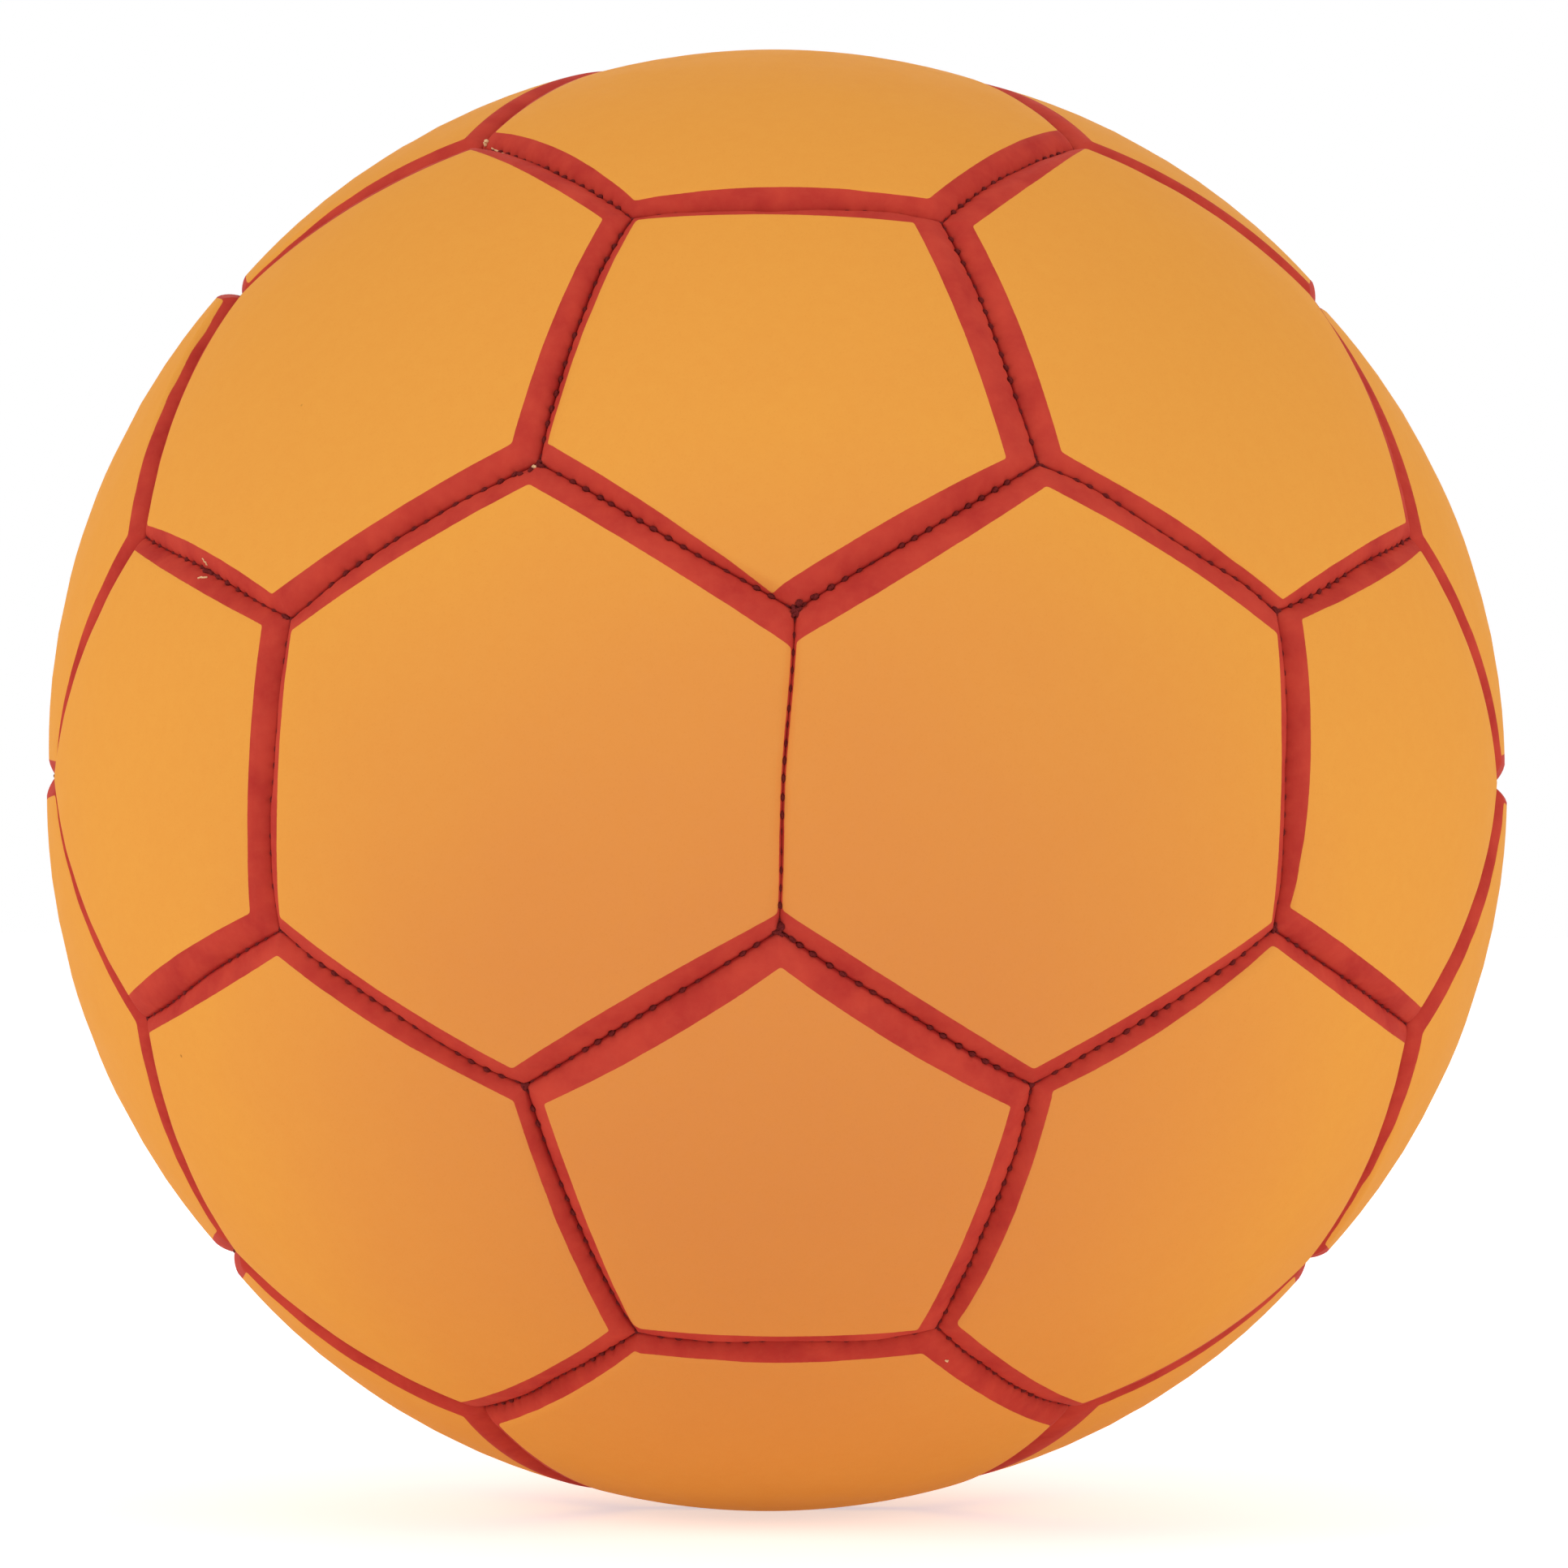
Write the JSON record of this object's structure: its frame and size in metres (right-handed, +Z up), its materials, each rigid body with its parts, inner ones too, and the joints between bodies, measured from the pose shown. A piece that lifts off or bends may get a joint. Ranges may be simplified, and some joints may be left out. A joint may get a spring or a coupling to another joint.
{
  "type": "handball",
  "caption": "Stitched handball with matt orange pentagon and hexagon panels, rolled red edges, black seams, an inner bladder and a needle valve.",
  "frame": {"origin": "centre of the ball", "axes": "+Z up as the ball lies in the picture; -Y towards the camera, through the middle of the seam between two hexagons that stands upright there; +X to the camera's right; the valve is on the far side, in the X-Y plane"},
  "size_m": [0.175, 0.175, 0.175],
  "materials": {
    "cover_skin": "matt synthetic leather, orange, with its rolled edges printed red",
    "foam": "soft closed-cell foam",
    "backing_fabric": "woven polyester and cotton",
    "seam_thread": "waxed polyester thread",
    "bladder_rubber": "matt latex",
    "housing_rubber": "matt moulded rubber",
    "core_rubber": "soft moulded rubber"
  },
  "bodies": {
    "root": {"bladder": "bladder_rubber", "hexagon_fabric_backings": "backing_fabric", "hexagon_foam_pads": "foam", "hexagon_panel_01": "cover_skin", "hexagon_panel_02": "cover_skin", "hexagon_panel_03": "cover_skin", "hexagon_panel_04": "cover_skin", "hexagon_panel_05": "cover_skin", "hexagon_panel_06": "cover_skin", "hexagon_panel_07": "cover_skin", "hexagon_panel_08": "cover_skin", "hexagon_panel_09": "cover_skin", "hexagon_panel_10": "cover_skin", "hexagon_panel_11": "cover_skin", "hexagon_panel_12": "cover_skin", "hexagon_panel_13": "cover_skin", "hexagon_panel_14": "cover_skin", "hexagon_panel_15": "cover_skin", "hexagon_panel_16": "cover_skin", "hexagon_panel_17": "cover_skin", "hexagon_panel_18": "cover_skin", "hexagon_panel_19": "cover_skin", "hexagon_seam_threads": "seam_thread", "pentagon_fabric_backings": "backing_fabric", "pentagon_foam_pads": "foam", "pentagon_panel_01": "cover_skin", "pentagon_panel_02": "cover_skin", "pentagon_panel_03": "cover_skin", "pentagon_panel_04": "cover_skin", "pentagon_panel_05": "cover_skin", "pentagon_panel_06": "cover_skin", "pentagon_panel_07": "cover_skin", "pentagon_panel_08": "cover_skin", "pentagon_panel_09": "cover_skin", "pentagon_panel_10": "cover_skin", "pentagon_panel_11": "cover_skin", "pentagon_panel_12": "cover_skin", "pentagon_seam_threads": "seam_thread", "valve_core": "core_rubber", "valve_housing": "housing_rubber", "valve_panel": "cover_skin"}
  },
  "joints": []
}
